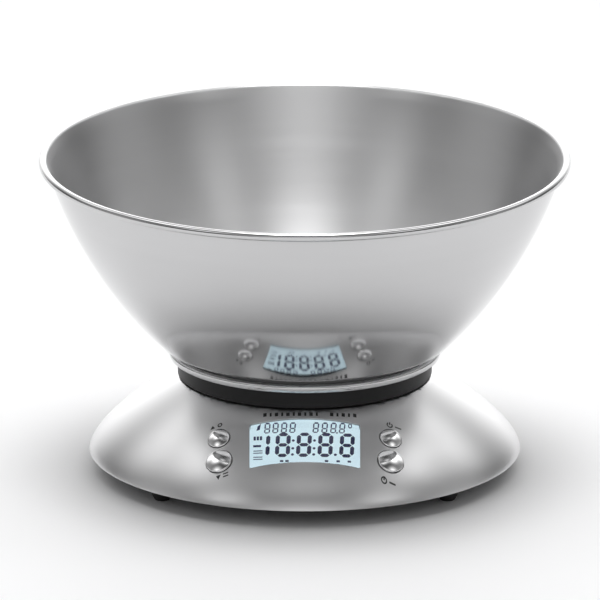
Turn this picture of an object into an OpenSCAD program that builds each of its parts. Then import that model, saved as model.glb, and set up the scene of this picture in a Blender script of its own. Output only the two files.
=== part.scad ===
// Electronic kitchen scale: a round steel dome on four feet, a black weighing
// platform on a load cell, and a lift-off mixing bowl.
// Millimetres, +Z up. The origin is on the table under the middle of the scale,
// and the display faces -Y.

/* [Dome] */
// Outer radius of the steel dome at its lower edge
dome_r = 90.2; // [90:0.1:92]
// Height of the dome's lower edge above the table
dome_foot_z = 7.2; // [7:0.1:8]
// Height of the dome's curve, as if it ran on to the middle
dome_rise = 60; // [59:0.5:61]
// How sharply the dome rounds over at its edge
dome_power = 0.696; // [0.68:0.004:0.7]
// Thickness of the dome's steel
dome_t = 0.8; // [0.6:0.1:0.8]
// Radius of the dome's flat top, under the platform
dome_flat_r = 52.9; // [52.5:0.1:53]
// Radius of the hole that the platform's hub passes through
dome_hole_r = 24; // [23:0.5:26]

/* [Platform] */
// Outer radius of the black platform
platform_r = 53.2; // [53:0.1:54]
// Height of the top face, which the bowl stands on
platform_top_z = 47.95; // [47.9:0.01:48]
// Height of the skirt's lower edge
platform_skirt_z = 40.5; // [40.4:0.1:41]

/* [Bowl] */
// Outer radius of the rolled rim
bowl_r = 111; // [110:0.5:112]
// Height of the middle of the rolled rim
bowl_rim_z = 132; // [131:0.5:134]
// Radius of the rolled rim's roll
rim_roll_r = 1.7; // [1.5:0.1:1.8]
// Thickness of the bowl's steel
bowl_t = 0.8; // [0.7:0.1:0.9]
// How far the wall bulges out from a straight cone
bowl_bulge = 5.5; // [4.5:0.5:6.5]
// Outer radius of the wall where it meets the foot
bowl_heel_r = 61.2; // [61:0.1:62]

/* [Display] */
// Width of the display window
window_w = 46; // [44:0.5:46]
// Distance from the middle to the window's upper edge, seen from above
window_near = 56.5; // [56:0.1:57]
// Distance from the middle to the window's lower edge, seen from above
window_far = 75.5; // [75:0.1:76]
// Depth of the liquid crystal glass below the window
glass_depth = 4.6; // [4.6:0.1:5]

/* [Buttons] */
// Radius of the two upper buttons
button_upper_r = 4.7; // [4.4:0.1:4.8]
// Radius of the two lower buttons
button_lower_r = 5.6; // [5.2:0.1:5.6]
// How far a button stands out of the dome
button_proud = 1.7; // [1.2:0.1:2]

/* [Feet] */
// Radius of a rubber foot
foot_r = 4.3; // [4:0.1:5]
// Sideways distance of a foot from the middle
foot_x = 59.5; // [58:0.5:60]
// Distance of a foot from the middle, front to back
foot_y = 50; // [49:0.5:51]

/* [Hidden] */
$fn = 96;

eps = 0.01;
steel = [0.78, 0.78, 0.79];
chrome = [0.88, 0.88, 0.9];
black = [0.06, 0.06, 0.065];
grey = [0.32, 0.33, 0.35];
white = [0.93, 0.94, 0.95];
copper_board = [0.1, 0.36, 0.2];

// ---- the dome's curve ----
function dome_z(r) = dome_foot_z + dome_rise * pow(1 - r / dome_r, dome_power);
function dome_slope(r) = atan(dome_rise * dome_power / dome_r * pow(1 - r / dome_r, dome_power - 1));
// A point of the curve, moved inwards by depth along the normal
function dome_point(r, depth) =
    let (a = dome_slope(r)) [r - depth * sin(a), dome_z(r) - depth * cos(a)];
// Radii that crowd together towards the edge, where the curve is tightest
dome_steps = 22;
function dome_radius(i) =
    dome_r - (dome_r - dome_flat_r) * pow(1 - i / dome_steps, 2.2);
function dome_line(depth, steps) = [for (i = [0:steps]) dome_point(dome_radius(i), depth)];
dome_top_z = dome_z(dome_flat_r);

// The whole space under the dome, down from its curve moved inwards by depth
module dome_space(depth) {
    line = dome_line(depth, dome_steps - 1);
    rotate_extrude()
        polygon(concat([[0, dome_foot_z], [0, dome_top_z - depth]], line,
            [[dome_r - depth, dome_foot_z]]));
}

// ---- the frames that the display and the keys are built in ----
window_mid = (window_near + window_far) / 2;
display_tilt = atan((dome_z(window_near) - dome_z(window_far)) / (window_far - window_near));
display_z = (dome_z(window_near) + dome_z(window_far)) / 2;
window_slope_len = (window_far - window_near) / cos(display_tilt);
module on_display() {
    translate([0, -window_mid, display_z]) rotate([display_tilt, 0, 0]) children();
}

key_r = 73.3;
key_turn = 29.2;
key_tilt = dome_slope(key_r);
// Offset of the upper key from the middle of its pair; the lower key is opposite
key_offset = [2.44, 5.51];
// side is -1 on the left and 1 on the right
module on_keys(side) {
    rotate([0, 0, side * key_turn]) translate([0, -key_r, dome_z(key_r)])
        rotate([key_tilt, 0, 0]) mirror([side < 0 ? 1 : 0, 0, 0]) children();
}
module at_key(side, row) {
    on_keys(side) translate([row * key_offset[0], row * key_offset[1], 0]) children();
}
function key_radius(row) = row > 0 ? button_upper_r : button_lower_r;

module plate(size, z0, z1, corner = 0.5) {
    translate([0, 0, z0]) linear_extrude(z1 - z0) hull() for (sx = [-1, 1], sy = [-1, 1])
        translate([sx * (size[0] / 2 - corner), sy * (size[1] / 2 - corner)]) circle(corner, $fn = 32);
}
module rod(r, z0, z1) {
    translate([0, 0, z0]) cylinder(r = r, h = z1 - z0);
}
module bar(size, z0, z1) {
    translate([-size[0] / 2, -size[1] / 2, z0]) cube([size[0], size[1], z1 - z0]);
}

// A pan-head screw along +Z: the head's top is at z_head and the tip at z_tip
module screw(r, head_r, head_h, z_head, z_tip) {
    down = z_head > z_tip;
    difference() {
        union() {
            rod(head_r, down ? z_head - head_h : z_head, down ? z_head : z_head + head_h);
            rod(r, min(z_tip, z_head), max(z_tip, z_head));
        }
        for (turn = [0, 90]) rotate([0, 0, turn]) translate([0, 0, z_head])
            cube([head_r * 1.1, 0.7, head_h], center = true);
    }
}

// ---- mixing bowl ----
bowl_base_z = 48.05;
bowl_heel_z = 55.6;
bowl_lip_r = bowl_r - 2 * rim_roll_r + 0.4;
roll_centre = [bowl_r - rim_roll_r, bowl_rim_z];
bowl_lip_z = bowl_rim_z;
wall_steps = 20;
// The wall is an arc from the heel to the lip, with its middle pushed out by bowl_bulge
wall_chord = [bowl_lip_r - bowl_heel_r, bowl_lip_z - bowl_heel_z];
wall_half = norm(wall_chord) / 2;
wall_radius = (wall_half * wall_half + bowl_bulge * bowl_bulge) / (2 * bowl_bulge);
wall_tilt = atan2(wall_chord[1], wall_chord[0]);
wall_sweep = asin(wall_half / wall_radius);
wall_mid = [(bowl_heel_r + bowl_lip_r) / 2, (bowl_heel_z + bowl_lip_z) / 2];
wall_centre = wall_mid + (wall_radius - bowl_bulge) * [-sin(wall_tilt), cos(wall_tilt)];
function wall_point(i, depth) =
    let (a = wall_tilt - 90 - wall_sweep + 2 * wall_sweep * i / wall_steps)
    wall_centre + (wall_radius - depth) * [cos(a), sin(a)];

module mixing_bowl() color(steel) {
    foot_out = [[0, 49.4], [50, 49.4], [51.2, bowl_base_z], [55.8, bowl_base_z], [56.7, 48.5],
        [57.1, 49.3], [57.3, 51], [57, 51.6], [56.4, 52], [56.4, 52.7], [60.2, 54.6]];
    foot_in = [[58.9, 55], [55.5, 53.2], [55.5, 51.6], [56.2, 51.1], [56.3, 49.4], [55.4, 48.9],
        [51.6, 48.9], [50.4, 50.2], [0, 50.2]];
    rotate_extrude() polygon(concat(foot_out, [for (i = [0:wall_steps - 1]) wall_point(i, 0)],
        [for (a = [-120:20:160]) roll_centre + rim_roll_r * [cos(a), sin(a)]],
        [for (i = [wall_steps - 1:-1:0]) wall_point(i, bowl_t)], foot_in));
}

// ---- platform ----
hub_r = 20;
hub_z = 36;
platform_screw_at = [[-12, -8], [-12, 8], [12, -8], [12, 8]];
module platform_tray() color(black) difference() {
    rotate_extrude() polygon([[0, hub_z], [hub_r, hub_z], [hub_r, 45.6], [51, 45.6],
        [51.2, platform_skirt_z], [platform_r, platform_skirt_z], [platform_r, 47.4],
        [52.7, platform_top_z], [49.6, platform_top_z], [49.2, 48.9], [0, 48.9]]);
    for (p = platform_screw_at) translate(p) rod(1.53, hub_z - eps, 44);
}
module platform_screws() color(chrome) {
    for (p = platform_screw_at) translate(p) screw(1.5, 2.8, 1.4, 34 - 1.4, 43);
}

// ---- load cell and its mounting ----
cell_len = 75;
cell_w = 12.7;
cell_z = [18.3, 31];
bracket_z = [34, 36];
cell_bolt_x = [27, 34];
cell_gap = 0.02;
bolt_r = 2;
module upper_bracket() color(steel) difference() {
    translate([8, 0, 0]) plate([60, 26], bracket_z[0], bracket_z[1], 3);
    for (p = platform_screw_at) translate(p) rod(1.6, bracket_z[0] - 1, bracket_z[1] + 1);
    for (x = cell_bolt_x) translate([x, 0, 0]) rod(bolt_r + 0.1, bracket_z[0] - 1, bracket_z[1] + 1);
}
module cell_spacer_upper() color(grey) difference() {
    translate([30.5, 0, 0]) bar([14, cell_w], cell_z[1], bracket_z[0]);
    for (x = cell_bolt_x) translate([x, 0, 0]) rod(bolt_r + 0.1, cell_z[1] - 1, bracket_z[0] + 1);
}
module cell_screws_upper() color(chrome) {
    for (x = cell_bolt_x) translate([x, 0, 0]) screw(bolt_r, 3.3, 2, bracket_z[1] + 2, 21);
}
module load_cell() color([0.8, 0.81, 0.83]) difference() {
    bar([cell_len, cell_w], cell_z[0], cell_z[1]);
    mid_z = (cell_z[0] + cell_z[1]) / 2;
    for (x = [-7, 7]) translate([x, cell_w, mid_z]) rotate([90, 0, 0]) cylinder(r = 4.2, h = 2 * cell_w);
    translate([0, 0, mid_z]) cube([14, 2 * cell_w, 3.4], center = true);
    for (x = cell_bolt_x, s = [-1, 1]) translate([s * x, 0, 0])
        rod(bolt_r + cell_gap, cell_z[0] - 1, cell_z[1] + 1);
}
module gauge_sealant() color(white) {
    for (s = [-1, 1]) translate([s * 7, 0, 0]) plate([11, 10], cell_z[1], cell_z[1] + 0.9, 2);
}
module cell_spacer_lower() color(grey) difference() {
    translate([-30.5, 0, 0]) bar([14, 16], tray_floor_z, cell_z[0]);
    for (x = cell_bolt_x) translate([-x, 0, 0]) rod(bolt_r + 0.1, tray_floor_z - 1, cell_z[0] + 1);
}
module cell_screws_lower() color(chrome) {
    for (x = cell_bolt_x) translate([-x, 0, 0]) screw(bolt_r, 3.3, 1.2, tray_z, 28);
}

// ---- dome and housing ----
module window_prism(grow) {
    translate([0, -window_mid, 10]) linear_extrude(60) hull() for (sx = [-1, 1], sy = [-1, 1])
        translate([sx * (window_w / 2 - 1), sy * ((window_far - window_near) / 2 - 1)])
            circle(1 + grow, $fn = 32);
}
module dome_cover() color(steel) difference() {
    rotate_extrude() polygon(concat([[dome_hole_r, dome_top_z]], dome_line(0, dome_steps - 1),
        [[dome_r, dome_foot_z + 0.5], [dome_r, dome_foot_z], [dome_r - dome_t, dome_foot_z]],
        [for (i = [dome_steps - 2:-1:0]) dome_point(dome_radius(i), dome_t)],
        [[dome_hole_r, dome_top_z - dome_t]]));
    window_prism(0);
    for (side = [-1, 1], row = [-1, 1]) at_key(side, row) rod(key_radius(row) + 0.3, -6, 6);
}

housing_gap = 0.1;
housing_t = 1.6;
boss_at = [[-68, 14], [68, 14], [-38, 62], [38, 62], [-14, -77], [14, -77]];
housing_steps = dome_steps - 6;
module upper_housing() color(black) difference() {
    union() {
        rotate_extrude() polygon(concat([[41, dome_top_z - dome_t - housing_gap]],
            dome_line(dome_t + housing_gap, housing_steps),
            [for (i = [housing_steps:-1:0])
                dome_point(dome_radius(i), dome_t + housing_gap + housing_t)],
            [[41, dome_top_z - dome_t - housing_gap - housing_t]]));
        intersection() {
            dome_space(dome_t + housing_gap + 0.4);
            for (p = boss_at) translate(p) rod(3.6, tray_floor_z, 40);
        }
        for (side = [-1, 1]) on_keys(side) for (p = key_post)
            translate(p) rod(1.9, key_board_z[1], -2.2);
    }
    for (p = boss_at) translate(p) rod(1.22, tray_floor_z - 1, 16);
    for (side = [-1, 1]) on_keys(side) for (p = key_post)
        translate(p) rod(0.82, key_board_z[1] - 1, -4);
    for (side = [-1, 1], row = [-1, 1]) at_key(side, row) rod(key_radius(row) + 1.5, -7, 6);
    on_display() translate([-27, -18, -14]) cube([54, 39, 22]);
}

tray_z = 5.8;
tray_floor_z = 8;
bay = [-27.5, 28, 55, 27];
bay_top_z = 20.5;
door_clear = 0.3;
module bottom_tray() color(grey) difference() {
    union() {
        rotate_extrude() polygon([[0, tray_z], [79, tray_z], [82, 7.4], [88.6, 7.4], [88.6, 8.6],
            [85.4, 8.6], [85.4, 10.2], [84, 10.2], [84, 8.6], [82, tray_floor_z], [0, tray_floor_z]]);
        translate([bay[0] - 1.5, bay[1] - 1.5, tray_floor_z - eps])
            cube([bay[2] + 3, bay[3] + 3, bay_top_z - tray_floor_z + 1.5]);
    }
    translate([bay[0], bay[1], tray_z - 1]) cube([bay[2], bay[3], bay_top_z - tray_z + 1]);
    for (p = boss_at) translate(p) {
        rod(1.7, tray_z - 1, 12);
        rod(3, tray_z - 1, tray_z + 1.2);
    }
    for (x = cell_bolt_x) translate([-x, 0, 0]) {
        rod(bolt_r + 0.1, tray_z - 1, 12);
        rod(3.6, tray_z - 1, tray_z + 1.2);
    }
    for (sx = [-1, 1], sy = [-1, 1]) translate([sx * foot_x, sy * foot_y, 0]) rod(2.05, tray_z - 1, 12);
}
module housing_screws() color(chrome) {
    for (p = boss_at) translate(p) screw(1.2, 2.7, 1.1, tray_z + 0.1, 15);
}

// ---- battery bay ----
door_y = [28 + door_clear, 55 - door_clear];
door_z = [tray_z, 7.6];
door_pivot = [door_y[1] - 0.9, 6.7];
module battery_door() color(grey) difference() {
    union() {
        translate([bay[0] + door_clear, door_y[0], door_z[0]])
            cube([bay[2] - 2 * door_clear, door_pivot[0] - door_y[0], door_z[1] - door_z[0]]);
        translate([bay[0] + door_clear, door_pivot[0], door_pivot[1]]) rotate([0, 90, 0])
            cylinder(r = 0.9, h = bay[2] - 2 * door_clear);
    }
    // Finger grip: three shallow grooves by the latch edge
    for (i = [0:2]) translate([-8, door_y[0] + 3 + 2.2 * i, door_z[0] - 0.6]) cube([16, 1, 1.1]);
}
cell_r = 5.25;
battery_len = 44.5;
battery_at = [35.3, 47.7];
battery_z = 13.4;
module battery(y, dir) {
    translate([0, y, battery_z]) rotate([0, dir * 90, 0]) union() {
        rod(cell_r, -battery_len / 2, battery_len / 2 - 0.9);
        rod(1.9, battery_len / 2 - 1, battery_len / 2);
    }
}
module battery_front() color([0.75, 0.55, 0.2]) battery(battery_at[0], 1);
module battery_rear() color([0.75, 0.55, 0.2]) battery(battery_at[1], -1);
// Spring turns stand on each plate behind a battery's flat end; a flat pad meets its button
module contact(y, side, spring) {
    plate_x = side * (bay[2] / 2 - 0.3);
    translate([plate_x - 0.25, y - 4.5, 9]) cube([0.5, 9, 9]);
    translate([plate_x, y, battery_z]) rotate([0, -side * 90, 0]) {
        if (spring) for (i = [0:4])
            translate([0, 0, 0.5 + 0.8 * i]) rotate_extrude()
                translate([3.6 - 0.35 * i, 0]) circle(0.5, $fn = 24);
        else rod(2.2, 0, 4.6);
    }
}
module battery_contacts() color(chrome) {
    contact(battery_at[0], -1, true);
    contact(battery_at[0], 1, false);
    contact(battery_at[1], 1, true);
    contact(battery_at[1], -1, false);
}

// ---- feet ----
module foot(sx, sy) color(black) translate([sx * foot_x, sy * foot_y, 0]) rotate_extrude()
    polygon(concat([[0, 0], [2.6, 0]],
        [for (a = [-75:15:0]) [foot_r - 1.7 + 1.7 * cos(a), 1.7 + 1.7 * sin(a)]],
        [[foot_r + 0.3, tray_z], [2, tray_z], [2, 9.5], [0, 9.5]]));
module foot_front_left() foot(-1, -1);
module foot_front_right() foot(1, -1);
module foot_rear_left() foot(-1, 1);
module foot_rear_right() foot(1, 1);

// ---- display ----
glass_z = [-glass_depth - 1.8, -glass_depth];
glass_mid = 1.5;
backlight_z = [glass_z[0] - 2.6, glass_z[0] - 0.1];
board_z = [-12.6, -11];
board_post = [[-21, -13.5], [21, -13.5], [-21, 16.5], [21, 16.5]];
module display_lens() color([0.9, 0.95, 1, 0.4]) intersection() {
    dome_space(0.05);
    window_prism(-0.15);
    on_display() translate([-40, -30, -glass_depth + 0.02]) cube([80, 60, 20]);
}
module display_glass() color([0.72, 0.86, 0.92]) on_display()
    translate([0, glass_mid, 0]) bar([51, 27], glass_z[0], glass_z[1]);
module display_backlight() color(white) on_display()
    translate([0, glass_mid, 0]) bar([49, 23], backlight_z[0], backlight_z[1]);
module display_frame() color(white) on_display() translate([0, glass_mid, 0]) difference() {
    bar([52.6, 36], board_z[1], glass_z[0] - 0.05);
    bar([49.4, 23.4], board_z[1] - 1, glass_z[0] + 1);
    for (p = board_post) translate([p[0], p[1] - glass_mid, 0]) rod(0.82, board_z[1] - 1, -7.2);
}
module contact_strip() color([0.85, 0.45, 0.6]) on_display()
    translate([0, glass_mid - 10, 0]) bar([44, 2], board_z[1], backlight_z[0] - 0.05);
module main_board() color(copper_board) on_display() difference() {
    translate([0, glass_mid, 0]) plate([47, 36], board_z[0], board_z[1], 1.5);
    for (p = board_post) translate(p) rod(1, board_z[0] - 1, board_z[1] + 1);
}
module board_chip() color(black) on_display()
    translate([6, 0, board_z[0]]) rotate([180, 0, 0]) rotate_extrude()
        polygon([[0, 0], [7, 0], [6.4, 0.9], [4, 1.6], [0, 1.9]]);
module board_screws() color(chrome) on_display() for (p = board_post) translate(p)
    screw(0.8, 1.7, 1, board_z[0] - 1, -7.4);

// ---- keys ----
key_board_z = [-12.4, -10.8];
key_post = [[8.6, 10.8], [6.4, -10.2]];
key_board_corner = [[-4.7, -11], [9.1, -11], [9.1, 11.4], [2.2, 11.4], [-4.7, -2.6]];
key_skirt_z = -4;
module button(side, row) {
    r = key_radius(row);
    ball = (r * r + 1.1 * 1.1) / (2 * 1.1);
    color(chrome) at_key(side, row) rotate_extrude() polygon(concat(
        [[0, -6.2], [1.6, -6.2], [1.6, key_skirt_z], [r, key_skirt_z], [r, -2.6], [r + 0.75, -2.6],
            [r + 0.75, -1.7], [r, -1.7], [r, button_proud - 1.1]],
        [for (i = [1:8]) let (x = r * (1 - i / 8)) [x, button_proud - ball + sqrt(ball * ball - x * x)]]));
}
module button_upper_left() button(-1, 1);
module button_upper_right() button(1, 1);
module button_lower_left() button(-1, -1);
module button_lower_right() button(1, -1);
module key_board(side) color(copper_board) on_keys(side) difference() {
    hull() for (p = key_board_corner) translate(p) rod(1.5, key_board_z[0], key_board_z[1]);
    for (p = key_post) translate(p) rod(1, key_board_z[0] - 1, key_board_z[1] + 1);
}
module key_board_left() key_board(-1);
module key_board_right() key_board(1);
module key_switches(side) color(grey) for (row = [-1, 1]) at_key(side, row) {
    bar([6, 6], key_board_z[1], -7.6);
    rod(1.7, -7.6 - eps, -7);
}
module key_switches_left() key_switches(-1);
module key_switches_right() key_switches(1);
module key_board_screws() color(chrome) for (side = [-1, 1]) on_keys(side) for (p = key_post)
    translate(p) screw(0.8, 1.7, 1, key_board_z[0] - 1, -5);

// ---- buzzer and wires ----
module buzzer() color(black) translate([-50, 12, 0]) difference() {
    rod(6, tray_floor_z, tray_floor_z + 5);
    rod(1, tray_floor_z + 3, tray_floor_z + 6);
}

// A tube with round cross-section swept along a list of points
wire_sides = 8;
function along(p, i) =
    let (d = p[min(i + 1, len(p) - 1)] - p[max(i - 1, 0)]) d / norm(d);
function ring(p, i, r) =
    let (t = along(p, i), u = cross(t, [0, 0, 1]) / norm(cross(t, [0, 0, 1])), v = cross(u, t))
    [for (k = [0:wire_sides - 1]) let (a = 360 * k / wire_sides) p[i] + r * (u * cos(a) + v * sin(a))];
module wire(points, r) {
    n = len(points);
    corners = [for (i = [0:n - 1]) each ring(points, i, r)];
    sides = [for (i = [0:n - 2], k = [0:wire_sides - 1])
        let (a = i * wire_sides + k, b = i * wire_sides + (k + 1) % wire_sides)
        [a, b, b + wire_sides, a + wire_sides]];
    caps = [[for (k = [wire_sides - 1:-1:0]) k], [for (k = [0:wire_sides - 1]) (n - 1) * wire_sides + k]];
    polyhedron(corners, concat(sides, caps));
}
// A quadratic curve through three control points, cut into steps
function bend(a, b, c, steps) = [for (i = [0:steps])
    let (t = i / steps) (1 - t) * (1 - t) * a + 2 * t * (1 - t) * b + t * t * c];
module cell_wires() for (k = [0:3])
    color([[0.8, 0.1, 0.1], black, white, [0.1, 0.5, 0.2]][k])
        wire(bend([-2 + 1.6 * k, -6.6, 26], [-2 + 1.6 * k, -22, 12], [-4 + 1.6 * k, -40, 16], 12), 0.55);
module battery_wires() for (k = [0:1])
    color([[0.8, 0.1, 0.1], black][k])
        wire(bend([14 + 3 * k, 26.2, 14], [14 + 3 * k, -4, 10], [12 + 2 * k, -40, 14], 12), 0.6);

mixing_bowl();
platform_tray();
platform_screws();
upper_bracket();
cell_spacer_upper();
cell_screws_upper();
load_cell();
gauge_sealant();
cell_spacer_lower();
cell_screws_lower();
dome_cover();
upper_housing();
bottom_tray();
housing_screws();
battery_door();
battery_front();
battery_rear();
battery_contacts();
foot_front_left();
foot_front_right();
foot_rear_left();
foot_rear_right();
display_lens();
display_glass();
display_backlight();
display_frame();
contact_strip();
main_board();
board_chip();
board_screws();
button_upper_left();
button_upper_right();
button_lower_left();
button_lower_right();
key_board_left();
key_board_right();
key_switches_left();
key_switches_right();
key_board_screws();
buzzer();
cell_wires();
battery_wires();
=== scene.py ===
"""Kitchen scale with a steel mixing bowl: the looks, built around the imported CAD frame. Metres, +Z up."""
import math

import bmesh
import bpy
from mathutils import Matrix, Vector


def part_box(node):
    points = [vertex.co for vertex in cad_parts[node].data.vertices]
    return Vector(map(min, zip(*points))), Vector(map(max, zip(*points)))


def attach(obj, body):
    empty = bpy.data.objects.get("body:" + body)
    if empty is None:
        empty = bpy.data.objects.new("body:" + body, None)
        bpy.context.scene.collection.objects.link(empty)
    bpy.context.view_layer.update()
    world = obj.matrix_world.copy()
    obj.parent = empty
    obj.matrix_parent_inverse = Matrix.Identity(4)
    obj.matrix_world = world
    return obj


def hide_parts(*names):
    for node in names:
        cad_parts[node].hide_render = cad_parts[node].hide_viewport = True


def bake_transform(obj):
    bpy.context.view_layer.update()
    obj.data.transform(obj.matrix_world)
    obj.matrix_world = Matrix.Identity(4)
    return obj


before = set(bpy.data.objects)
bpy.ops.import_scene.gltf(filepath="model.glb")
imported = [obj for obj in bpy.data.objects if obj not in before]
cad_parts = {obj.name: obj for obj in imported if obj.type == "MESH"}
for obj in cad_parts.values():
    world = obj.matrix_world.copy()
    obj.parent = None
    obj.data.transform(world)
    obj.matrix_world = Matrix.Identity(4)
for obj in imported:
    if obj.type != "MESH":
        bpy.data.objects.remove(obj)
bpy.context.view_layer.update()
MM = 0.001

# ---------------------------------------------------------------- sizes taken from the frame

DOME_LOW, DOME_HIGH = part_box("dome_cover")
DOME_R = (DOME_HIGH.x - DOME_LOW.x) / 2
DOME_FOOT_Z = DOME_LOW.z
DOME_TOP_Z = DOME_HIGH.z
DOME_RISE = 60 * MM
DOME_POWER = 0.696
DOME_FLAT_R = 52.9 * MM
DOME_HOLE_R = 24 * MM
DOME_T = 0.8 * MM


def dome_z(r):
    """Height of the dome's outer face at radius r."""
    if r <= DOME_FLAT_R:
        return DOME_TOP_Z
    return DOME_FOOT_Z + DOME_RISE * max(1 - r / DOME_R, 0) ** DOME_POWER


def dome_slope(r):
    """Downward slope of the dome at radius r, in radians."""
    share = max(1 - r / DOME_R, 1e-6)
    return math.atan(DOME_RISE * DOME_POWER / DOME_R * share ** (DOME_POWER - 1))


def dome_normal(x, y):
    r = math.hypot(x, y)
    if r <= DOME_FLAT_R:
        return Vector((0, 0, 1))
    a = dome_slope(r)
    return Vector((x / r * math.sin(a), y / r * math.sin(a), math.cos(a)))


# ---------------------------------------------------------------- camera, light and floor

VIEW_ELEVATION = math.radians(17.0)
VIEW_DISTANCE = 12.0
VIEW_WIDTH = 0.2508
AIM = Vector((-0.002, 0, 0.0716))
SENSOR = 36


def make_camera():
    data = bpy.data.cameras.new("camera")
    data.sensor_width = SENSOR
    data.lens = SENSOR * VIEW_DISTANCE / VIEW_WIDTH
    data.clip_end = 60
    camera = bpy.data.objects.new("camera", data)
    back = Vector((0, -math.cos(VIEW_ELEVATION), math.sin(VIEW_ELEVATION)))
    camera.location = AIM + back * VIEW_DISTANCE
    camera.rotation_euler = back.to_track_quat("Z", "Y").to_euler()
    bpy.context.scene.collection.objects.link(camera)
    bpy.context.scene.camera = camera


# A plain studio: soft lights far away, the same on the left as on the right. For each, azimuth from
# the front and elevation in degrees, how tightly it is gathered, and its level.
MIDDLE_LIGHTS = [
    (0, 90, 50, 12),  # overhead softbox
    (0, 15, 8, 0.8),  # front fill
    (180, 15, 8, 2.5),  # pale backdrop
    (180, 75, 30, 1.5),  # softbox high behind
]
SIDE_LIGHTS = [
    (90, 15, 8, 0.4),  # side fill
    (50, 40, 50, 1.2),  # front softbox
    (130, 40, 50, 1.5),  # rear softbox
    (110, 60, 50, 2.5),  # high side softbox
]
SOFT_LIGHTS = MIDDLE_LIGHTS + [(side * azimuth, *rest)
                               for azimuth, *rest in SIDE_LIGHTS for side in (-1, 1)]
ROOM_LEVEL = 0.02


def make_stage():
    bpy.ops.mesh.primitive_plane_add(size=12, location=(0, 0, -0.0002))
    floor = bpy.context.object
    floor.name = "floor"
    material = bpy.data.materials.new("floor")
    material.use_nodes = True
    shader = material.node_tree.nodes["Principled BSDF"]
    shader.inputs["Base Color"].default_value = (0.9, 0.9, 0.905, 1)
    shader.inputs["Roughness"].default_value = 0.7
    shader.inputs["Specular IOR Level"].default_value = 0.2
    floor.data.materials.append(material)

    world = bpy.data.worlds.new("studio")
    world.use_nodes = True
    nodes, links = world.node_tree.nodes, world.node_tree.links
    coords = nodes.new("ShaderNodeTexCoord")

    def math_node(operation, a, b):
        node = nodes.new("ShaderNodeMath")
        node.operation = operation
        for socket, value in zip(node.inputs, (a, b)):
            if isinstance(value, float):
                socket.default_value = value
            else:
                links.new(value, socket)
        return node.outputs[0]

    total = ROOM_LEVEL
    for azimuth, elevation, tightness, level in SOFT_LIGHTS:
        az, el = math.radians(azimuth), math.radians(elevation)
        dot = nodes.new("ShaderNodeVectorMath")
        dot.operation = "DOT_PRODUCT"
        towards = (math.sin(az) * math.cos(el), -math.cos(az) * math.cos(el), math.sin(el))
        dot.inputs[1].default_value = towards
        links.new(coords.outputs["Generated"], dot.inputs[0])
        facing = math_node("MAXIMUM", dot.outputs["Value"], 0.0)
        lobe = math_node("MULTIPLY", math_node("POWER", facing, float(tightness)), float(level))
        total = math_node("ADD", lobe, total)
    links.new(total, nodes["Background"].inputs["Color"])
    bpy.context.scene.world = world

    bpy.context.scene.view_settings.view_transform = "Standard"


# ---------------------------------------------------------------- materials


class Shader:
    """A material with a Principled shader and a few helpers for its nodes."""

    def __init__(self, name, colour, **inputs):
        self.material = bpy.data.materials.new(name)
        self.material.use_nodes = True
        self.nodes = self.material.node_tree.nodes
        self.links = self.material.node_tree.links
        self.shader = self.nodes["Principled BSDF"]
        self.set("Base Color", (*colour, 1))
        for key, value in inputs.items():
            self.set(key.replace("_", " ").title().replace("Ior", "IOR"), value)

    def set(self, name, value):
        self.shader.inputs[name].default_value = value

    def node(self, kind, **settings):
        node = self.nodes.new(kind)
        for key, value in settings.items():
            if key.startswith("in_"):
                node.inputs[key[3:].replace("_", " ").title()].default_value = value
            else:
                setattr(node, key, value)
        return node

    def link(self, a, b):
        self.links.new(a, b)

    def math(self, operation, a, b=None, c=None):
        node = self.node("ShaderNodeMath", operation=operation)
        for i, value in enumerate((a, b, c)):
            if value is None:
                continue
            if isinstance(value, (int, float)):
                node.inputs[i].default_value = value
            else:
                self.link(value, node.inputs[i])
        return node.outputs[0]

    def object_xyz(self):
        coords = self.node("ShaderNodeTexCoord")
        return coords.outputs["Object"]

    def noise(self, vector, scale, detail=3.0, roughness=0.5):
        noise = self.node("ShaderNodeTexNoise", in_scale=scale, in_detail=detail, in_roughness=roughness)
        self.link(vector, noise.inputs["Vector"])
        return noise.outputs["Fac"]

    def spread(self, value, low, high):
        """value, from 0 to 1, spread from low to high."""
        node = self.node("ShaderNodeMapRange")
        self.link(value, node.inputs["Value"])
        node.inputs["To Min"].default_value = low
        node.inputs["To Max"].default_value = high
        return node.outputs["Result"]

    def mix(self, factor, a, b):
        node = self.node("ShaderNodeMix", data_type="RGBA")
        self.link(factor, node.inputs[0])
        node.inputs[6].default_value = (*a, 1)
        node.inputs[7].default_value = (*b, 1)
        return node.outputs[2]

    def bump(self, height, distance):
        node = self.node("ShaderNodeBump")
        node.inputs["Strength"].default_value = 1.0
        node.inputs["Distance"].default_value = distance
        self.link(height, node.inputs["Height"])
        self.link(node.outputs["Normal"], self.shader.inputs["Normal"])

    def drive(self, name, output):
        self.link(output, self.shader.inputs[name])


ROUND_STRETCH = 0.0035


def spun_vector(s):
    """Coordinates that change fast from ring to ring and slowly round the axis, as tool marks do."""
    split = s.node("ShaderNodeSeparateXYZ")
    s.link(s.object_xyz(), split.inputs[0])
    x, y, z = split.outputs
    radius = s.math("SQRT", s.math("ADD", s.math("MULTIPLY", x, x), s.math("MULTIPLY", y, y)))
    inverse = s.math("DIVIDE", ROUND_STRETCH, s.math("MAXIMUM", radius, 0.001))
    join = s.node("ShaderNodeCombineXYZ")
    s.link(s.math("ADD", z, radius), join.inputs[0])
    s.link(s.math("MULTIPLY", x, inverse), join.inputs[1])
    s.link(s.math("MULTIPLY", y, inverse), join.inputs[2])
    return join.outputs[0]


LINE_SCALE = 900


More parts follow.
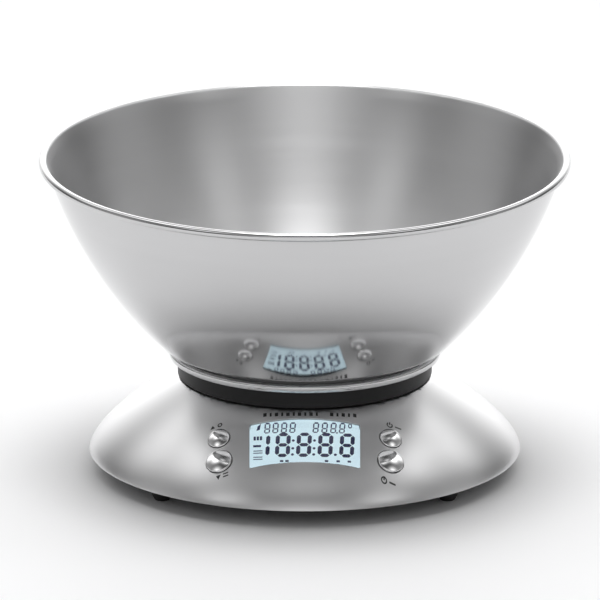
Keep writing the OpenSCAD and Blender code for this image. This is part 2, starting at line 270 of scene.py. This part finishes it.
def spun_steel(name, tone, low, high, anisotropic, line_depth):
    """Steel finished on a lathe: rings of fine lines that draw the highlights out across them.
    low and high are the limits of its roughness."""
    s = Shader(name, tone, metallic=1.0, roughness=(low + high) / 2, anisotropic=anisotropic)
    s.set("Anisotropic Rotation", 0.25)
    vector = spun_vector(s)
    fine = s.noise(vector, LINE_SCALE, 4.0, 0.6)
    wide = s.noise(vector, LINE_SCALE * 0.12, 3.0, 0.5)
    both = s.math("ADD", s.math("MULTIPLY", fine, 0.6), s.math("MULTIPLY", wide, 0.4))
    s.drive("Roughness", s.spread(both, low, high))
    darker = tuple(c * 0.93 for c in tone)
    s.drive("Base Color", s.mix(s.spread(wide, 0.2, 0.8), darker, tone))
    s.bump(both, line_depth)
    tangent = s.node("ShaderNodeTangent", direction_type="RADIAL", axis="Z")
    s.drive("Tangent", tangent.outputs[0])
    return s.material


def polished(name, tone, roughness):
    """Bright metal with faint smudges in its gloss."""
    s = Shader(name, tone, metallic=1.0, roughness=roughness)
    smudge = s.noise(s.object_xyz(), 220, 4.0, 0.6)
    s.drive("Roughness", s.spread(smudge, roughness * 0.6, roughness * 1.5))
    s.bump(smudge, 0.004 * MM)
    return s.material


def moulded(name, tone, roughness, grain=900, depth=0.02, sheen=0.12, shine=0.5):
    """Moulded plastic or rubber with a fine spark-eroded grain and a little variation in tone."""
    s = Shader(name, tone, roughness=roughness)
    grain_noise = s.noise(s.object_xyz(), grain, 5.0, 0.65)
    broad = s.noise(s.object_xyz(), 35, 2.0, 0.5)
    lighter = tuple(min(c * (1 + sheen) + 0.004, 1) for c in tone)
    s.drive("Base Color", s.mix(broad, tone, lighter))
    s.drive("Roughness", s.spread(grain_noise, roughness * 0.8, min(roughness * 1.2, 1)))
    s.bump(grain_noise, depth * MM)
    s.set("Specular IOR Level", shine)
    return s.material


def clear_acrylic():
    s = Shader("clear_acrylic", (0.985, 0.995, 1.0), roughness=0.02, ior=1.49)
    s.set("Transmission Weight", 1.0)
    haze = s.noise(s.object_xyz(), 60, 3.0, 0.5)
    s.drive("Roughness", s.spread(haze, 0.005, 0.03))
    return s.material


def lit_display():
    """The display's lit face: pale blue, glowing, with soft random clouds in its tone."""
    s = Shader("lit_display", (0.16, 0.19, 0.2), roughness=0.35)
    clouds = s.noise(s.object_xyz(), 45, 2.0, 0.4)
    s.drive("Base Color", s.mix(clouds, (0.15, 0.18, 0.19), (0.18, 0.21, 0.22)))
    s.drive("Emission Color", s.mix(clouds, (0.60, 0.82, 0.93), (0.74, 0.90, 0.97)))
    s.set("Emission Strength", 0.85)
    return s.material


def ink(name, tone):
    s = Shader(name, tone, roughness=0.45)
    fleck = s.noise(s.object_xyz(), 700, 3.0, 0.6)
    s.drive("Base Color", s.mix(fleck, tone, tuple(c * 1.3 + 0.004 for c in tone)))
    return s.material


# ---------------------------------------------------------------- mesh helpers


def rounded(points, radius):
    """An outline with each corner that radius gives a size for turned into an arc.
    radius is a dict from a point's index to its corner radius."""
    result = []
    for i, point in enumerate(points):
        size = radius.get(i, 0)
        if not size:
            result.append(tuple(point))
            continue
        p = Vector(point)
        a = (Vector(points[i - 1]) - p).normalized()
        b = (Vector(points[(i + 1) % len(points)]) - p).normalized()
        half = a.angle(b) / 2
        cut = size / math.tan(half)
        middle = p + (a + b).normalized() * size / math.sin(half)
        start, stop = p + a * cut - middle, p + b * cut - middle
        turn = start.angle_signed(stop)
        steps = max(3, math.ceil(abs(turn) / math.radians(12)))
        for k in range(steps + 1):
            spoke = start.copy()
            spoke.rotate(Matrix.Rotation(-turn * k / steps, 2))
            result.append(tuple(middle + spoke))
    return result


def finish_mesh(mesh, name, materials, body, replaces=None, sharp=35):
    for polygon in mesh.polygons:
        polygon.use_smooth = True
    mesh.set_sharp_from_angle(angle=math.radians(sharp))
    piece = bpy.data.objects.new(name, mesh)
    bpy.context.scene.collection.objects.link(piece)
    for material in materials:
        mesh.materials.append(material)
    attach(piece, body)
    if replaces:
        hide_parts(replaces)
    return piece


def face_outward(bm):
    """Turn every face so that the closed mesh has a positive volume."""
    bmesh.ops.recalc_face_normals(bm, faces=bm.faces)
    if bm.calc_volume(signed=True) < 0:
        bmesh.ops.reverse_faces(bm, faces=bm.faces)


def lathe(outline, segments=256, matrix=None):
    """A closed mesh: the outline of (radius, height) pairs, turned round Z. Its first and last
    points are joined unless both are on the axis."""
    bm = bmesh.new()
    rings = []
    for r, z in outline:
        if r < 1e-7:
            rings.append([bm.verts.new((0, 0, z))])
            continue
        rings.append([bm.verts.new((r * math.cos(a), r * math.sin(a), z))
                      for a in (2 * math.pi * k / segments for k in range(segments))])
    pairs = list(zip(rings, rings[1:]))
    if outline[0][0] > 1e-7:
        pairs.append((rings[-1], rings[0]))
    for low, high in pairs:
        for k in range(segments):
            n = (k + 1) % segments
            corners = [low[k % len(low)], low[n % len(low)], high[n % len(high)], high[k % len(high)]]
            unique = list(dict.fromkeys(corners))
            if len(unique) > 2:
                bm.faces.new(unique)
    if matrix is not None:
        bm.transform(matrix)
    face_outward(bm)
    mesh = bpy.data.meshes.new("lathe")
    bm.to_mesh(mesh)
    bm.free()
    return mesh


def prism(loop, low, high):
    """A closed mesh: a flat loop of (x, y) pairs drawn from height low to height high."""
    bm = bmesh.new()
    bottom = [bm.verts.new((x, y, low)) for x, y in loop]
    top = [bm.verts.new((x, y, high)) for x, y in loop]
    bm.faces.new(bottom[::-1])
    bm.faces.new(top)
    for k in range(len(loop)):
        n = (k + 1) % len(loop)
        bm.faces.new((bottom[k], bottom[n], top[n], top[k]))
    mesh = bpy.data.meshes.new("prism")
    bm.to_mesh(mesh)
    bm.free()
    return mesh


def cut_away(mesh, cutters):
    """mesh with the cutters' meshes taken out of it."""
    target = bpy.data.objects.new("cut_target", mesh)
    bpy.context.scene.collection.objects.link(target)
    helpers = []
    for cutter in cutters:
        helper = bpy.data.objects.new("cutter", cutter)
        bpy.context.scene.collection.objects.link(helper)
        helpers.append(helper)
        modifier = target.modifiers.new("cut", "BOOLEAN")
        modifier.operation = "DIFFERENCE"
        modifier.solver = "EXACT"
        modifier.object = helper
    bpy.context.view_layer.update()
    graph = bpy.context.evaluated_depsgraph_get()
    result = bpy.data.meshes.new_from_object(target.evaluated_get(graph))
    for helper in [target, *helpers]:
        bpy.data.objects.remove(helper)
    return result


# ---------------------------------------------------------------- frames of the window and the keys

WINDOW_NEAR = 56.5 * MM
WINDOW_FAR = 75.5 * MM
WINDOW_W = 46 * MM
WINDOW_CORNER = 0.5 * MM
WINDOW_MID = (WINDOW_NEAR + WINDOW_FAR) / 2
DISPLAY_TILT = math.atan((dome_z(WINDOW_NEAR) - dome_z(WINDOW_FAR)) / (WINDOW_FAR - WINDOW_NEAR))
DISPLAY_Z = (dome_z(WINDOW_NEAR) + dome_z(WINDOW_FAR)) / 2
DISPLAY = Matrix.Translation((0, -WINDOW_MID, DISPLAY_Z)) @ Matrix.Rotation(DISPLAY_TILT, 4, "X")
GLASS_DEPTH = 4.6 * MM

KEY_R = 73.3 * MM
KEY_TURN = math.radians(29.2)
KEY_OFFSET = (2.44 * MM, 5.51 * MM)


def key_frame(side, row):
    """The frame of a button: side is -1 left or 1 right, row is 1 upper or -1 lower."""
    return (Matrix.Rotation(side * KEY_TURN, 4, "Z")
            @ Matrix.Translation((0, -KEY_R, dome_z(KEY_R)))
            @ Matrix.Rotation(dome_slope(KEY_R), 4, "X")
            @ Matrix.Translation((side * row * KEY_OFFSET[0], row * KEY_OFFSET[1], 0)))


def key_radius(row):
    return (4.7 if row > 0 else 5.6) * MM


def window_loop(grow=0.0, share=1.0):
    """The window's outline seen from above, with round corners, at share of its full size."""
    half_x = WINDOW_W / 2 + grow
    half_y = (WINDOW_FAR - WINDOW_NEAR) / 2 + grow
    corner = WINDOW_CORNER
    loop = []
    side_steps = 24
    signs = ((1, 1), (-1, 1), (-1, -1), (1, -1))
    for k, (sx, sy) in enumerate(signs):
        centre = Vector((sx * (half_x - corner), sy * (half_y - corner)))
        for i in range(7):
            a = math.radians(90 * k + 15 * i)
            loop.append(centre + corner * Vector((math.cos(a), math.sin(a))))
        after = signs[(k + 1) % 4]
        a = math.radians(90 * (k + 1))
        stop = (Vector((after[0] * (half_x - corner), after[1] * (half_y - corner)))
                + corner * Vector((math.cos(a), math.sin(a))))
        start = loop[-1]
        loop += [start.lerp(stop, i / side_steps) for i in range(1, side_steps)]
    return [(p.x * share, p.y * share - WINDOW_MID) for p in loop]


# ---------------------------------------------------------------- the bowl

BOWL_LOW, BOWL_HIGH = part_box("mixing_bowl")
BOWL_R = (BOWL_HIGH.x - BOWL_LOW.x) / 2
ROLL_R = 1.7 * MM
BOWL_T = 0.8 * MM
HEEL = Vector((61.2 * MM, 55.6 * MM))
BULGE = 5.5 * MM


def wall_arc(depth, steps=48):
    """The bowl's wall from heel to lip as an arc, moved in by depth."""
    lip = Vector((BOWL_R - 2 * ROLL_R + 0.4 * MM, BOWL_HIGH.z - ROLL_R))
    chord = lip - HEEL
    half = chord.length / 2
    radius = (half * half + BULGE * BULGE) / (2 * BULGE)
    tilt = math.atan2(chord.y, chord.x)
    centre = (HEEL + lip) / 2 + (radius - BULGE) * Vector((-math.sin(tilt), math.cos(tilt)))
    sweep = math.asin(half / radius)
    return [tuple(centre + (radius - depth) * Vector((math.cos(a), math.sin(a))))
            for a in (tilt - math.pi / 2 - sweep + 2 * sweep * i / steps for i in range(steps))]


# The groove between the bowl's wall and its foot: its outer faces get near-black steel, painted shade for
# the shadow in the groove
PAINTED_SHADE_R = 57.2 * MM
PAINTED_SHADE_Z = (51.2 * MM, 54.6 * MM)


def make_bowl(inside, outside, groove_painted_shade):
    foot_out = [(0, 49.4), (50, 49.4), (51.2, 48.05), (56.4, 48.05), (57.3, 50.9), (54.9, 51.6),
                (54.9, 53.9), (60.2, 54.5)]
    foot_in = [(58.6, 55.1), (54.1, 54.6), (54.1, 51), (55.6, 50.3), (55.4, 48.9), (51.6, 48.9),
               (50.4, 50.2), (0, 50.2)]
    foot_out = [(r * MM, z * MM) for r, z in foot_out]
    foot_in = [(r * MM, z * MM) for r, z in foot_in]
    foot_out = rounded(foot_out, {1: 0.6 * MM, 2: 0.5 * MM, 3: 0.9 * MM, 4: 0.9 * MM, 5: 0.4 * MM,
                                  6: 0.4 * MM})
    foot_in = rounded(foot_in, {1: 0.4 * MM, 2: 0.3 * MM, 4: 0.3 * MM, 5: 0.4 * MM, 6: 0.4 * MM})
    roll = [(BOWL_R - ROLL_R + ROLL_R * math.cos(a), BOWL_HIGH.z - ROLL_R + ROLL_R * math.sin(a))
            for a in (math.radians(d) for d in range(-130, 166, 10))]
    outline = foot_out + wall_arc(0) + roll + wall_arc(BOWL_T)[::-1] + foot_in
    mesh = lathe(outline, 384)
    bowl = finish_mesh(mesh, "bowl", [inside, outside, groove_painted_shade], "bowl", "mixing_bowl", 50)
    for polygon in mesh.polygons:
        x, y, z = polygon.center
        r = math.hypot(x, y)
        outward = polygon.normal.x * x + polygon.normal.y * y
        if outward < 0 or (polygon.normal.z > 0.9 and r < 57 * MM):
            polygon.material_index = 0
        else:
            # Outer faces inside the groove take the near-black steel, painted shade
            polygon.material_index = 2 if r < PAINTED_SHADE_R and PAINTED_SHADE_Z[0] < z < PAINTED_SHADE_Z[1] else 1
    return bowl


# ---------------------------------------------------------------- dome, platform and feet


def make_dome(steel):
    steps = 64
    radii = [DOME_R - (DOME_R - DOME_FLAT_R) * (1 - i / steps) ** 2.2 for i in range(steps)]
    outer = [(DOME_HOLE_R, DOME_TOP_Z), (DOME_FLAT_R - 1 * MM, DOME_TOP_Z)]
    # The steps nearest the rim are left out, or the outline would cross itself at the lip
    outer += [(r, dome_z(r)) for r in radii[:-2]]
    lip = [(DOME_R, DOME_FOOT_Z + 0.2 * MM), (DOME_R - 0.12 * MM, DOME_FOOT_Z + 0.05 * MM),
           (DOME_R - 0.4 * MM, DOME_FOOT_Z), (DOME_R - DOME_T, DOME_FOOT_Z + 0.05 * MM)]
    inner = []
    for r in radii[::-1][3:]:
        a = dome_slope(r)
        inner.append((r - DOME_T * math.sin(a), dome_z(r) - DOME_T * math.cos(a)))
    inner.append((DOME_HOLE_R, DOME_TOP_Z - DOME_T))
    mesh = lathe(outer + lip + inner, 360)
    cutters = [prism(window_loop(), 0.005, 0.08)]
    for side in (-1, 1):
        for row in (-1, 1):
            hole = key_radius(row) + 0.3 * MM
            cutters.append(lathe([(0, -6 * MM), (hole, -6 * MM), (hole, 6 * MM), (0, 6 * MM)], 96,
                                 key_frame(side, row)))
    mesh = cut_away(mesh, cutters)
    dome = finish_mesh(mesh, "dome", [steel], "base", "dome_cover", 35)
    normals = [Vector(n.vector) for n in mesh.corner_normals]
    for polygon in mesh.polygons:
        for loop in polygon.loop_indices:
            x, y, z = mesh.vertices[mesh.loops[loop].vertex_index].co
            r = math.hypot(x, y)
            on_face = r < DOME_R - 1e-5 and abs(z - dome_z(r)) < 0.03 * MM
            if on_face and polygon.normal.dot(dome_normal(x, y)) > 0.9:
                normals[loop] = dome_normal(x, y)
    mesh.normals_split_custom_set(normals)
    return dome


def make_platform(black):
    outline = [(0, 36), (20, 36), (20, 45.6), (51, 45.6), (51.2, 40.5), (53.2, 40.5), (53.2, 47.95),
               (49.9, 47.95), (49.2, 48.9), (0, 48.9)]
    outline = [(r * MM, z * MM) for r, z in outline]
    outline = rounded(outline, {1: 0.4 * MM, 4: 0.3 * MM, 5: 0.4 * MM, 6: 0.9 * MM, 7: 0.2 * MM,
                                8: 0.4 * MM})
    return finish_mesh(lathe(outline, 256), "platform", [black], "platform", "platform_tray", 35)


def make_foot(name, rubber):
    low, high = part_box(name)
    centre = (low + high) / 2
    radius = (high.x - low.x) / 2
    outline = [(0, 0), (3.0 * MM, 0), (radius - 0.35 * MM, 2.4 * MM), (radius, 5.8 * MM),
               (2 * MM, 5.8 * MM), (2 * MM, 9.5 * MM), (0, 9.5 * MM)]
    outline = rounded(outline, {1: 0.5 * MM, 2: 1.6 * MM, 3: 0.2 * MM})
    matrix = Matrix.Translation((centre.x, centre.y, 0))
    return finish_mesh(lathe(outline, 96, matrix), name + "_shaped", [rubber], "base", name)


# ---------------------------------------------------------------- buttons


# How far the collar that holds a button in stands out of it: the two of a pair just clear each other
FLANGE = 0.75 * MM
BUTTON_PROUD = 1.7 * MM
BUTTON_CROWN = 1.1 * MM
STEM_R = 1.6 * MM
# Heights in the button's own frame, down from the dome's face
STEM_END, SKIRT_END, FLANGE_LOW, FLANGE_TOP = (-d * MM for d in (6.2, 4, 2.6, 1.7))


def make_button(side, row, chrome):
    name = f"button_{'upper' if row > 0 else 'lower'}_{'left' if side < 0 else 'right'}"
    r = key_radius(row)
    ball = (r * r + BUTTON_CROWN * BUTTON_CROWN) / (2 * BUTTON_CROWN)

    def crown_z(x):
        return BUTTON_PROUD - ball + math.sqrt(ball * ball - x * x)

    shoulder = r * 0.9
    outline = [(0, STEM_END), (STEM_R, STEM_END), (STEM_R, SKIRT_END), (r, SKIRT_END), (r, FLANGE_LOW),
               (r + FLANGE, FLANGE_LOW), (r + FLANGE, FLANGE_TOP), (r, FLANGE_TOP)]
    edge = (r, BUTTON_PROUD - BUTTON_CROWN)
    outline += rounded([(r, FLANGE_TOP), edge, (shoulder, crown_z(shoulder))], {1: 0.35 * MM})[1:-1]
    outline += [(x, crown_z(x)) for x in (shoulder * (1 - i / 16) for i in range(17))]
    mesh = lathe(outline, 128, key_frame(side, row))
    return finish_mesh(mesh, name + "_cap", [chrome], name, name, 30)


# ---------------------------------------------------------------- display


def make_lens(acrylic):
    """A clear lens: its top follows the dome and its back is flat, just above the display glass."""
    rings = [1.0, 0.985, 0.95, 0.88, 0.78, 0.66, 0.54, 0.42, 0.3, 0.18, 0.08]
    back = DISPLAY @ Vector((0, 0, -GLASS_DEPTH + 0.12 * MM))
    tilt = math.tan(DISPLAY_TILT)
    inset = 0.15 * MM
    bm = bmesh.new()

    def layer(height):
        grid = [[bm.verts.new((x, y, height(x, y))) for x, y in window_loop(-inset, share)]
                for share in rings]
        return grid, bm.verts.new((0, -WINDOW_MID, height(0, -WINDOW_MID)))

    def on_top(x, y):
        return dome_z(math.hypot(x, y)) - 0.05 * MM

    def at_back(x, y):
        return back.z + (y - back.y) * tilt

    top, top_mid = layer(on_top)
    low, low_mid = layer(at_back)
    for grid, middle in ((top, top_mid), (low, low_mid)):
        for a, b in zip(grid, grid[1:]):
            for k in range(len(a)):
                n = (k + 1) % len(a)
                bm.faces.new((a[k], a[n], b[n], b[k]))
        last = grid[-1]
        for k in range(len(last)):
            bm.faces.new((last[k], last[(k + 1) % len(last)], middle))
    for k in range(len(top[0])):
        n = (k + 1) % len(top[0])
        bm.faces.new((top[0][k], low[0][k], low[0][n], top[0][n]))
    face_outward(bm)
    mesh = bpy.data.meshes.new("lens")
    bm.to_mesh(mesh)
    bm.free()
    return finish_mesh(mesh, "lens", [acrylic], "base", "display_lens", 30)


# Seven bars of a digit: from corner to corner of a cell that is 1 wide and 2 high
BARS = {"top": ((0, 2), (1, 2)), "middle": ((0, 1), (1, 1)), "bottom": ((0, 0), (1, 0)),
        "upper_left": ((0, 1), (0, 2)), "upper_right": ((1, 1), (1, 2)),
        "lower_left": ((0, 0), (0, 1)), "lower_right": ((1, 0), (1, 1))}
# The ink's face stands this far out of what it is printed on
INK_LIFT = 0.03 * MM
INK_T = 0.02 * MM


def plate(bm, corners, outward):
    """A thin closed plate of ink: its face has these corners and looks along outward."""
    spread = Vector((0, 0, 0))
    for a, b in zip(corners, corners[1:] + corners[:1]):
        spread += a.cross(b)
    if spread.dot(outward) < 0:
        corners = corners[::-1]
    face = [bm.verts.new(c) for c in corners]
    back = [bm.verts.new(c - outward * INK_T) for c in corners]
    bm.faces.new(face)
    bm.faces.new(back[::-1])
    for k in range(len(face)):
        n = (k + 1) % len(face)
        bm.faces.new((face[n], face[k], back[k], back[n]))


def open_ring(x, y, outer, inner, start, stop):
    """Corners of a ring cut open: angles in degrees, clockwise from the far side."""
    steps = 20
    spokes = [(math.sin(a), math.cos(a)) for a in
              (math.radians(start + (stop - start) * k / steps) for k in range(steps + 1))]
    return ([(x + outer * u, y + outer * v) for u, v in spokes]
            + [(x + inner * u, y + inner * v) for u, v in reversed(spokes)])


class Print:
    """Thin plates of ink printed on the display glass, gathered into one mesh. Sizes in millimetres.
    slant leans the shapes to the right, as the digits of such a display do."""

    def __init__(self, slant=0.0):
        self.bm = bmesh.new()
        self.slant = slant

    def shape(self, points):
        corners = [DISPLAY @ Vector(((u + self.slant * v) * MM, v * MM, INK_LIFT - GLASS_DEPTH))
                   for u, v in points]
        plate(self.bm, corners, DISPLAY.to_3x3() @ Vector((0, 0, 1)))

    def bar(self, a, b, thick):
        """A bar with pointed ends, as a digit's segments have."""
        a, b = Vector(a), Vector(b)
        run = (b - a).normalized()
        side = Vector((-run.y, run.x)) * thick / 2
        gap = run * thick * 0.16
        tip = run * thick / 2
        a, b = a + gap, b - gap
        self.shape([a, a + tip + side, b - tip + side, b, b - tip - side, a + tip - side])

    def digit(self, left, base, width, height, thick, bars=tuple(BARS)):
        for name in bars:
            (x0, y0), (x1, y1) = BARS[name]
            self.bar((left + x0 * width, base + y0 * height / 2),
                     (left + x1 * width, base + y1 * height / 2), thick)

    def dot(self, x, y, r):
        self.shape([(x + r * math.cos(a), y + r * math.sin(a)) for a in
                    (2 * math.pi * k / 16 for k in range(16))])

    def block(self, x, y, w, h):
        self.shape([(x, y), (x + w, y), (x + w, y + h), (x, y + h)])

    def done(self, name, material):
        self.bm.normal_update()
        mesh = bpy.data.meshes.new(name)
        self.bm.to_mesh(mesh)
        self.bm.free()
        return finish_mesh(mesh, name, [material], "base", None)


def make_readout(dark):
    """A full set of lit segments: a long number, two small ones above it, and plain signs."""
    main = Print(0.05)
    base, height, width, thick = -5.8, 10.8, 4.45, 1.7
    main.digit(-15.15, base, 0, height, thick, ("upper_left", "lower_left"))
    for left in (-11.2, -2.55, 6.25, 15.15):
        main.digit(left, base, width, height, thick)
    for x in (-4.8, 3.9):
        main.dot(x, 1.8, 0.6)
        main.dot(x, -2.25, 0.6)
    for x in (-4.8, 3.9, 12.8):
        main.dot(x, -5.4, 0.62)
    main.done("readout_main", dark)

    small = Print(0.1)
    base, height, width, thick = 6.1, 3.95, 1.9, 0.55
    for middle in (-16.2, -12.8, -9.3, -5.8, 3.7, 7.3, 10.9, 14.5):
        small.digit(middle - width / 2, base, width, height, thick)
    small.dot(12.6, base - 0.1, 0.4)
    small.done("readout_small", dark)

    signs = Print()
    # Down the left edge: a leaf, a level gauge, a minus sign and two pairs of short lines
    signs.shape([(-20.0, 7.4), (-18.6, 7.9), (-17.9, 10.2), (-19.4, 9.2)])
    for k in range(3):
        signs.block(-21.1 + 1.3 * k, 2.4, 0.95, 2.0)
    signs.block(-21.3, -1.2, 3.3, 1.1)
    for v in (-3.4, -4.5, -6.6, -7.7):
        signs.block(-21.2, v, 3.8, 0.45)
    # At the top right a small ring, and along the bottom a mark for each unit
    signs.shape(open_ring(18.6, 9.3, 0.85, 0.45, 4, 356))
    for x in (-10.2, -8.0, 8.2, 13.0, 17.6):
        signs.block(x, -9.2, 1.4, 1.0)
    signs.done("readout_signs", dark)


# How far each button's sign is from the button's middle, seen from above, in millimetres
SIGN_SHIFT = {(-1, 1): 6.6, (1, 1): 6.6, (-1, -1): -6, (1, -1): -8}


def make_marks(dark):
    """Plain marks printed on the dome: ticks over the window and a sign by each button. Sizes in
    millimetres."""
    bm = bmesh.new()

    def shape(points):
        corners = []
        for x, y in points:
            x, y = x * MM, y * MM
            corners.append(Vector((x, y, dome_z(math.hypot(x, y)))) + dome_normal(x, y) * INK_LIFT)
        middle = sum(corners, Vector((0, 0, 0))) / len(corners)
        plate(bm, corners, dome_normal(middle.x, middle.y))

    def block(x, y, w, h):
        shape([(x - w / 2, y - h / 2), (x + w / 2, y - h / 2),
               (x + w / 2, y + h / 2), (x - w / 2, y + h / 2)])

    def arc(x, y, r, start, stop):
        shape(open_ring(x, y, r, r - 0.5, start, stop))

    def tick_y(x):
        """The row of ticks bends back a little, so that it looks level on the dome."""
        return -54.6 + x * x / 220

    for start, count in ((-16.6, 10), (11.2, 5)):
        for k in range(count):
            x = start + 2.4 * k
            block(x, tick_y(x), 1.4 if k % 2 == 0 else 0.8, 1.7)

    for side in (-1, 1):
        for row in (-1, 1):
            centre = key_frame(side, row) @ Vector((0, 0, 0))
            x = centre.x / MM + side * row * 1.2
            y = centre.y / MM + SIGN_SHIFT[side, row]
            if side < 0:
                shape([(x - 2.4, y - 0.7 * row), (x - 0.4, y - 0.7 * row), (x - 1.4, y + 0.9 * row)])
                if row > 0:
                    arc(x + 1.6, y, 1.0, 4, 356)
                else:
                    block(x + 1.6, y + 0.5, 2.2, 0.45)
                    block(x + 1.6, y - 0.5, 2.2, 0.45)
            else:
                arc(x - 1.6, y, 1.3, 40 if row > 0 else 4, 320 if row > 0 else 356)
                block(x - 1.6, y + 0.7, 0.5, 1.4)
                block(x + 1.9, y, 2.6, 0.6)
    bm.normal_update()
    mesh = bpy.data.meshes.new("panel_marks")
    bm.to_mesh(mesh)
    bm.free()
    return finish_mesh(mesh, "panel_marks", [dark], "base", None)


# ---------------------------------------------------------------- build

make_camera()
make_stage()

bowl_inside = spun_steel("bowl_inside", (0.69, 0.69, 0.695), 0.26, 0.40, 0.9, 0.006 * MM)
bowl_outside = spun_steel("bowl_outside", (0.62, 0.62, 0.625), 0.06, 0.13, 0.5, 0.0012 * MM)
# Near-black steel: painted shade for the groove under the bowl's wall
bowl_groove_painted_shade = spun_steel("bowl_groove_painted_shade", (0.07, 0.07, 0.072), 0.4, 0.55, 0.2, 0.0012 * MM)
dome_steel = spun_steel("dome_steel", (0.75, 0.75, 0.755), 0.27, 0.36, 0.6, 0.0012 * MM)
chrome = polished("button_chrome", (0.9, 0.9, 0.905), 0.1)
black_plastic = moulded("black_plastic", (0.006, 0.006, 0.0065), 0.3, 1400, 0.004)
platform_plastic = moulded("platform_plastic", (0.006, 0.006, 0.0065), 0.4, 1400, 0.004, shine=0.18)
grey_plastic = moulded("grey_plastic", (0.09, 0.09, 0.095), 0.5, 900, 0.02)
rubber = moulded("rubber", (0.012, 0.012, 0.012), 0.65, 1100, 0.02)
acrylic = clear_acrylic()
display = lit_display()
navy_ink = ink("display_ink", (0.008, 0.01, 0.12))
panel_ink = ink("panel_ink", (0.02, 0.02, 0.02))

make_bowl(bowl_inside, bowl_outside, bowl_groove_painted_shade)
make_dome(dome_steel)
make_platform(platform_plastic)
for name in ("foot_front_left", "foot_front_right", "foot_rear_left", "foot_rear_right"):
    make_foot(name, rubber)
for side in (-1, 1):
    for row in (-1, 1):
        make_button(side, row, chrome)
make_lens(acrylic)
make_readout(navy_ink)
make_marks(panel_ink)

cell_aluminium = spun_steel("cell_aluminium", (0.7, 0.71, 0.72), 0.3, 0.42, 0.2, 0.004 * MM)
sealant = moulded("sealant", (0.75, 0.77, 0.76), 0.45, 300, 0.05)
# The load cell and its sealant: copies of their CAD meshes with new materials, in place of the CAD nodes
for name, look, slot in (("load_cell", cell_aluminium, "cell_aluminium"),
                         ("gauge_sealant", sealant, "sealant")):
    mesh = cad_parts[name].data.copy()
    mesh.transform(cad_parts[name].matrix_world)
    mesh.materials.clear()
    mesh.materials.append(look)
    piece = bpy.data.objects.new(name + "_bent", mesh)
    bpy.context.scene.collection.objects.link(piece)
    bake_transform(piece)
    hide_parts(name)

CAD_LOOKS = {
    "display_glass": display,
    "display_backlight": moulded("light_guide", (0.8, 0.85, 0.88), 0.3, 600, 0.005),
    "display_frame": moulded("frame_white", (0.75, 0.77, 0.78), 0.4, 900, 0.01),
    "bottom_tray": grey_plastic,
    "battery_door": grey_plastic,
    "upper_housing": black_plastic,
    "contact_strip": moulded("strip_rubber", (0.55, 0.22, 0.25), 0.6, 900, 0.01),
}
zinc = polished("zinc_plate", (0.62, 0.63, 0.62), 0.28)
board_green = moulded("board_green", (0.015, 0.12, 0.05), 0.35, 500, 0.008, 0.5)
jacket = moulded("battery_jacket", (0.03, 0.035, 0.05), 0.25, 300, 0.002)
wire_red = moulded("wire_sleeve", (0.4, 0.02, 0.02), 0.4, 700, 0.005)


def look_of(name):
    """The material of a node that keeps its CAD mesh."""
    if name in CAD_LOOKS:
        return CAD_LOOKS[name]
    if "wires" in name:
        return wire_red
    if "board" in name and "screws" not in name and "chip" not in name:
        return board_green
    if name.startswith("battery_") and name != "battery_contacts":
        return jacket
    if name in ("board_chip", "buzzer") or "switches" in name:
        return black_plastic
    return zinc


for name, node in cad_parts.items():
    if node.hide_render:
        continue
    node.data.materials.clear()
    node.data.materials.append(look_of(name))
